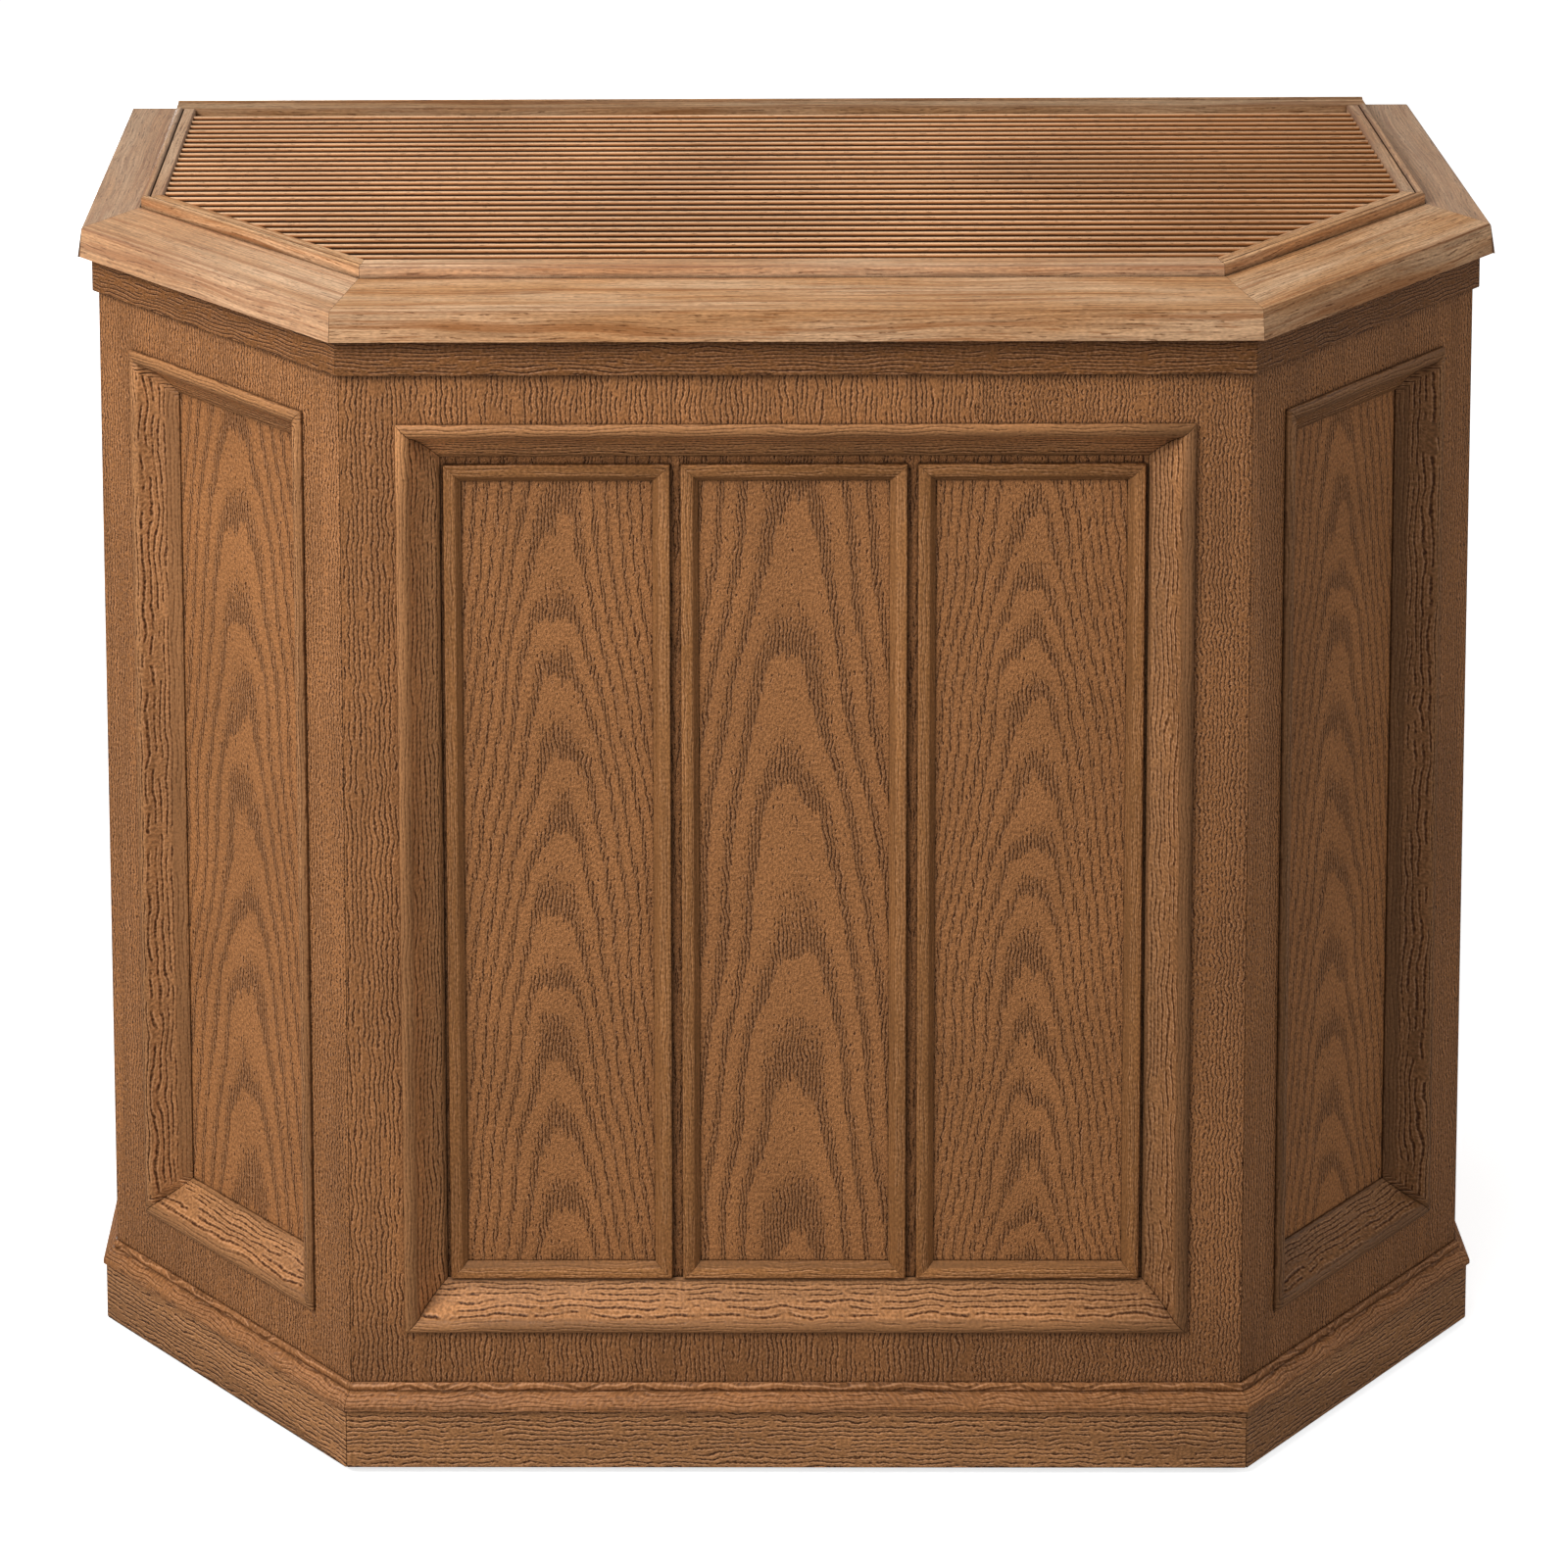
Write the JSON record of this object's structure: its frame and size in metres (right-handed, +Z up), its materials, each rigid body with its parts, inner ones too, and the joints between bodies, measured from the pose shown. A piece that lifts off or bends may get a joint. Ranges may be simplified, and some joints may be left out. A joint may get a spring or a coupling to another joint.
{
  "type": "console evaporative humidifier",
  "caption": "Floor-standing evaporative humidifier in a five-sided oak cabinet with panelled faces and a louvred lift-up lid.",
  "frame": {"origin": "on the floor, at the centre of the overall footprint", "axes": "+X to the right seen from the front, +Y towards the back, +Z up"},
  "size_m": [0.7194, 0.364, 0.5985],
  "materials": {
    "cabinet_oak": "satin",
    "top_oak": "satin",
    "slat_oak": "satin",
    "field_oak": "satin",
    "backing_board": "matte",
    "tray_plastic": "matte",
    "tub_plastic": "matte",
    "wick_paper": "matte",
    "rack_plastic": "matte",
    "deck_plastic": "matte",
    "guard_metal": "satin",
    "motor_metal": "satin",
    "bright_steel": "satin",
    "blade_plastic": "gloss",
    "panel_plastic": "matte",
    "knob_plastic": "gloss",
    "lamp_lens": "gloss",
    "float_foam": "matte",
    "cord_rubber": "matte",
    "caster_nylon": "satin",
    "wheel_rubber": "matte"
  },
  "bodies": {
    "cabinet": {"front_board": "cabinet_oak", "left_canted_board": "cabinet_oak", "right_canted_board": "cabinet_oak", "left_side_board": "cabinet_oak", "right_side_board": "cabinet_oak", "front_moulding": "cabinet_oak", "left_canted_moulding": "cabinet_oak", "right_canted_moulding": "cabinet_oak", "field_bead_frames": "cabinet_oak", "plinth_front": "cabinet_oak", "plinth_left_canted": "cabinet_oak", "plinth_right_canted": "cabinet_oak", "plinth_left_side": "cabinet_oak", "plinth_right_side": "cabinet_oak", "plinth_cap": "cabinet_oak", "apron": "cabinet_oak", "front_field_panel": "field_oak", "left_field_panel": "field_oak", "right_field_panel": "field_oak", "cornice_front": "top_oak", "cornice_left_canted": "top_oak", "cornice_right_canted": "top_oak", "cornice_left_side": "top_oak", "cornice_right_side": "top_oak", "plinth_rear": "backing_board", "back_panel": "backing_board", "corner_posts": "backing_board", "base_tray": "tray_plastic", "intake_grille": "tray_plastic", "reservoir_tub": "tub_plastic", "wick": "wick_paper", "wick_frame": "rack_plastic", "fan_deck": "deck_plastic", "fan_guard": "guard_metal", "motor": "motor_metal", "control_panel": "panel_plastic", "refill_lamp": "lamp_lens", "power_cord": "cord_rubber", "screws": "bright_steel"},
    "lid": {"lid_front_rail": "top_oak", "lid_canted_rails": "top_oak", "lid_side_rails": "top_oak", "lid_rear_rail": "top_oak", "grille_slats": "slat_oak", "grille_ribs": "slat_oak", "lid_pivot_pins": "bright_steel"},
    "fan": {"motor_shaft": "bright_steel", "fan_blade": "blade_plastic"},
    "float": {"float": "float_foam"},
    "speed_knob": {"speed_knob": "knob_plastic"},
    "humidistat_knob": {"humidistat_knob": "knob_plastic"},
    "fill_door": {"fill_door": "deck_plastic"},
    "caster_fork_front_left": {"caster_yoke_front_left": "caster_nylon"},
    "caster_wheel_front_left": {"caster_wheel_front_left": "wheel_rubber"},
    "caster_fork_front_right": {"caster_yoke_front_right": "caster_nylon"},
    "caster_wheel_front_right": {"caster_wheel_front_right": "wheel_rubber"},
    "caster_fork_rear_left": {"caster_yoke_rear_left": "caster_nylon"},
    "caster_wheel_rear_left": {"caster_wheel_rear_left": "wheel_rubber"},
    "caster_fork_rear_right": {"caster_yoke_rear_right": "caster_nylon"},
    "caster_wheel_rear_right": {"caster_wheel_rear_right": "wheel_rubber"}
  },
  "joints": [
    {"name": "lid_hinge", "type": "hinge", "parent": "cabinet", "child": "lid", "pos_m": [0, 0.17585, 0.585], "axis": [-1, 0, 0], "range_deg": [0, 80]},
    {"name": "fan_spin", "type": "hinge", "parent": "cabinet", "child": "fan", "pos_m": [0, 0.00485, 0.43], "axis": [0, 0, 1], "continuous": true},
    {"name": "float_slide", "type": "slide", "parent": "cabinet", "child": "float", "axis": [0, 0, 1], "range_m": [0, 0.1]},
    {"name": "speed_knob_turn", "type": "hinge", "parent": "cabinet", "child": "speed_knob", "pos_m": [0.186, -0.00315, 0.472], "axis": [0, 0, -1], "range_deg": [0, 270]},
    {"name": "humidistat_knob_turn", "type": "hinge", "parent": "cabinet", "child": "humidistat_knob", "pos_m": [0.254, -0.00315, 0.472], "axis": [0, 0, -1], "range_deg": [0, 270]},
    {"name": "fill_door_hinge", "type": "hinge", "parent": "cabinet", "child": "fill_door", "pos_m": [-0.246, 0.00485, 0.44], "axis": [0, -1, 0], "range_deg": [0, 100]},
    {"name": "caster_swivel_front_left", "type": "hinge", "parent": "cabinet", "child": "caster_fork_front_left", "pos_m": [-0.19, -0.12315, 0.034], "axis": [0, 0, 1], "continuous": true},
    {"name": "caster_roll_front_left", "type": "hinge", "parent": "caster_fork_front_left", "child": "caster_wheel_front_left", "pos_m": [-0.19, -0.11415, 0.011], "axis": [1, 0, 0], "continuous": true},
    {"name": "caster_swivel_front_right", "type": "hinge", "parent": "cabinet", "child": "caster_fork_front_right", "pos_m": [0.19, -0.12315, 0.034], "axis": [0, 0, 1], "continuous": true},
    {"name": "caster_roll_front_right", "type": "hinge", "parent": "caster_fork_front_right", "child": "caster_wheel_front_right", "pos_m": [0.19, -0.11415, 0.011], "axis": [1, 0, 0], "continuous": true},
    {"name": "caster_swivel_rear_left", "type": "hinge", "parent": "cabinet", "child": "caster_fork_rear_left", "pos_m": [-0.3, 0.12985, 0.034], "axis": [0, 0, 1], "continuous": true},
    {"name": "caster_roll_rear_left", "type": "hinge", "parent": "caster_fork_rear_left", "child": "caster_wheel_rear_left", "pos_m": [-0.3, 0.13885, 0.011], "axis": [1, 0, 0], "continuous": true},
    {"name": "caster_swivel_rear_right", "type": "hinge", "parent": "cabinet", "child": "caster_fork_rear_right", "pos_m": [0.3, 0.12985, 0.034], "axis": [0, 0, 1], "continuous": true},
    {"name": "caster_roll_rear_right", "type": "hinge", "parent": "caster_fork_rear_right", "child": "caster_wheel_rear_right", "pos_m": [0.3, 0.13885, 0.011], "axis": [1, 0, 0], "continuous": true}
  ]
}
